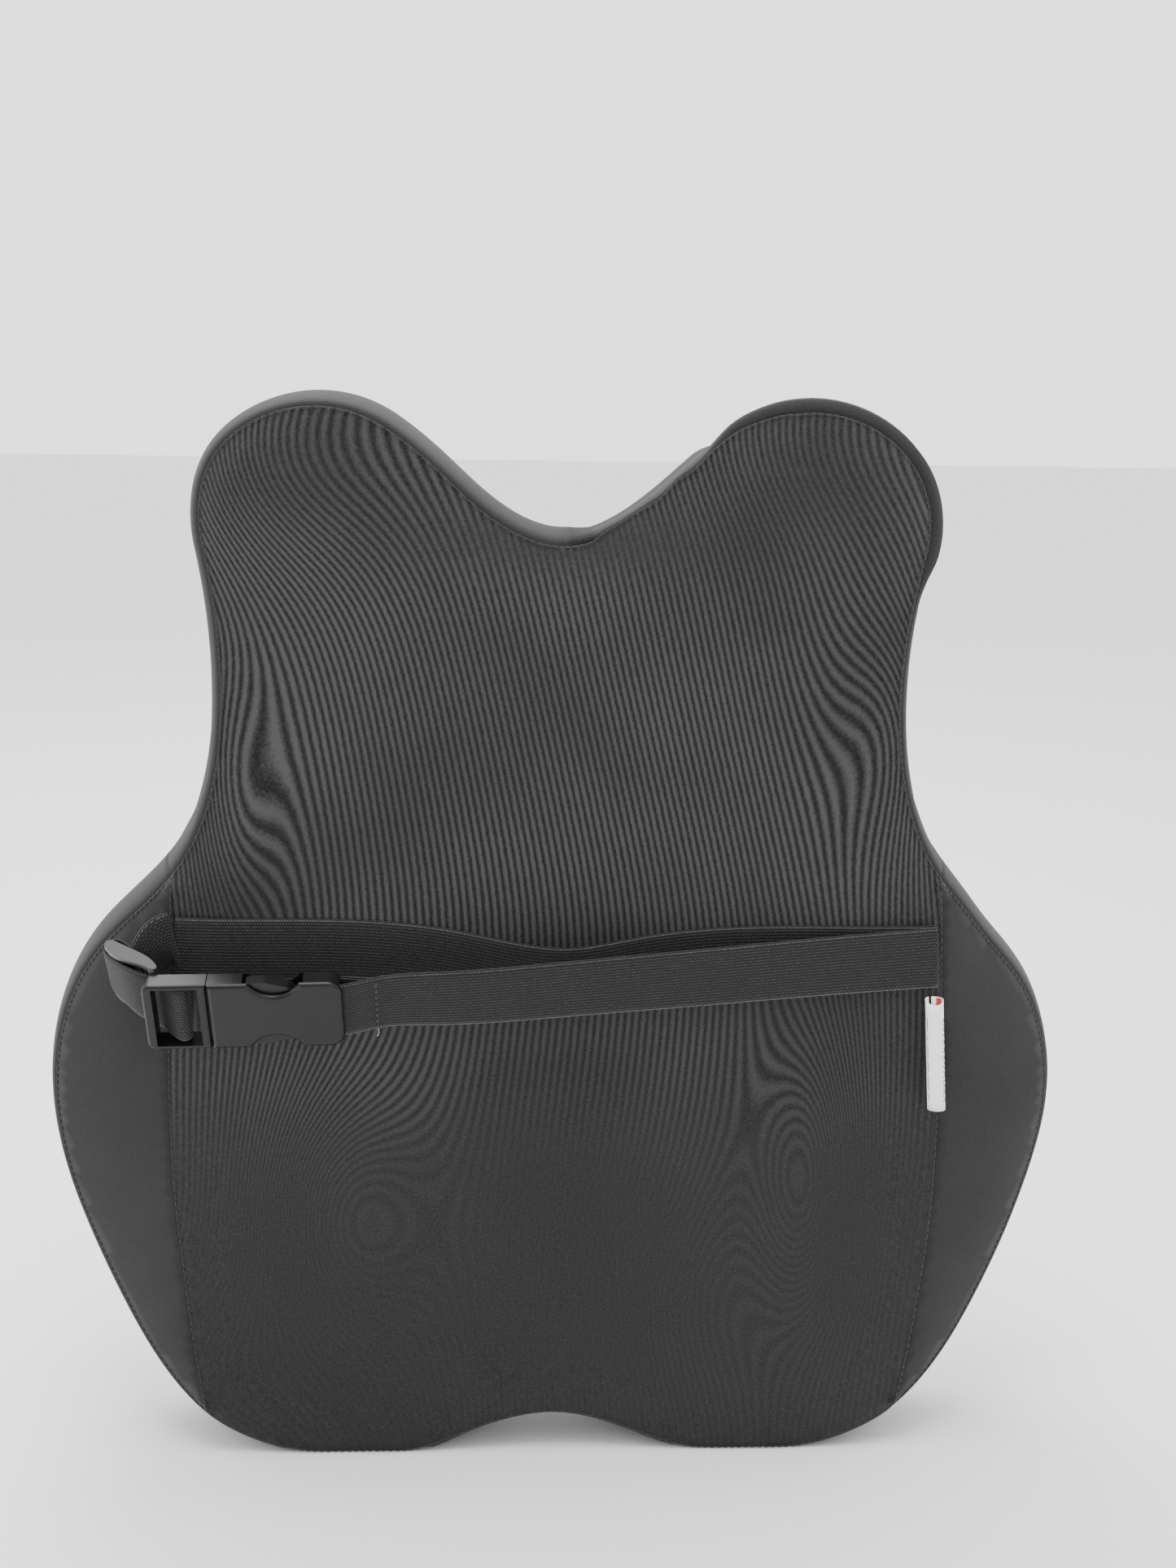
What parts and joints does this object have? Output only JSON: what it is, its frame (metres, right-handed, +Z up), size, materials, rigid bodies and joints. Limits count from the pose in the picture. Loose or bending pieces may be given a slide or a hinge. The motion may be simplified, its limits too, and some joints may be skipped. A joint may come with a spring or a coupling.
{
  "type": "lumbar support cushion",
  "caption": "Winged lumbar support cushion with a ribbed back panel, zipped cover, elastic band and a strap with a side-release buckle.",
  "frame": {"origin": "middle of the whole cushion's width and depth, on the surface that its two lower lobes stand on", "axes": "+Z up along the back, +Y from the back panel towards the sitter, +X to the right seen from behind"},
  "size_m": [0.4164, 0.1299, 0.4367],
  "materials": {
    "foam": "matte",
    "liner_cloth": "matte",
    "cover_cloth": "matte",
    "ribbed_cloth": "matte",
    "strap_elastic": "matte",
    "zip_tape": "matte",
    "zip_coil": "satin",
    "zip_metal": "satin",
    "buckle_plastic": "satin",
    "adjuster_plastic": "satin",
    "label_cloth": "matte",
    "thread": "matte"
  },
  "bodies": {
    "cushion": {"foam_core": "foam", "inner_liner": "liner_cloth", "cover_front_panel": "cover_cloth", "cover_back_panel": "ribbed_cloth", "wing_back_left": "cover_cloth", "wing_back_right": "cover_cloth", "edge_strip_upper_left": "cover_cloth", "edge_strip_upper_right": "cover_cloth", "edge_strip_wing_left": "cover_cloth", "edge_strip_wing_right": "cover_cloth", "edge_strip_bottom": "cover_cloth", "zip_tape_back": "zip_tape", "zip_tape_front": "zip_tape", "zip_coil_back": "zip_coil", "zip_coil_front": "zip_coil", "zip_stops": "zip_metal", "buckle_socket": "buckle_plastic", "right_strap": "strap_elastic", "back_band": "strap_elastic", "care_label": "label_cloth", "strap_stitches": "thread"},
    "buckle_plug": {"buckle_plug_frame": "buckle_plastic", "strap_adjuster": "adjuster_plastic", "left_strap": "strap_elastic"},
    "prong_upper": {"buckle_prong_upper": "buckle_plastic"},
    "prong_lower": {"buckle_prong_lower": "buckle_plastic"},
    "zip_runner": {"zip_slider": "zip_metal"},
    "zip_tab": {"zip_pull": "zip_metal"}
  },
  "joints": [
    {"name": "buckle_release", "type": "slide", "parent": "cushion", "child": "buckle_plug", "axis": [-0.9996, 0.01, -0.0261], "range_m": [0, 0.038], "deforming": ["left_strap", "buckle_prong_upper", "buckle_prong_lower"]},
    {"name": "prong_upper_pinch", "type": "hinge", "parent": "buckle_plug", "child": "prong_upper", "pos_m": [-0.13374, -0.05803, 0.21135], "axis": [0, 0.9336, 0.3584], "range_deg": [0, 7], "stiffness_Nm_per_rad": 0.5},
    {"name": "prong_lower_pinch", "type": "hinge", "parent": "buckle_plug", "child": "prong_lower", "pos_m": [-0.13326, -0.05183, 0.19521], "axis": [0, -0.9336, -0.3584], "range_deg": [0, 7], "stiffness_Nm_per_rad": 0.5},
    {"name": "zip_travel", "type": "hinge", "parent": "cushion", "child": "zip_runner", "pos_m": [0.095, -0.0009, 0.39], "axis": [0, -1, 0], "range_deg": [0, 114]},
    {"name": "zip_tab_flip", "type": "hinge", "parent": "zip_runner", "child": "zip_tab", "pos_m": [0.14474, -0.0009, 0.39026], "axis": [0, -1, 0], "range_deg": [0, 160]}
  ],
  "couplings": [
    {"joint": "prong_lower_pinch", "follows": "prong_upper_pinch", "ratio": 1}
  ]
}
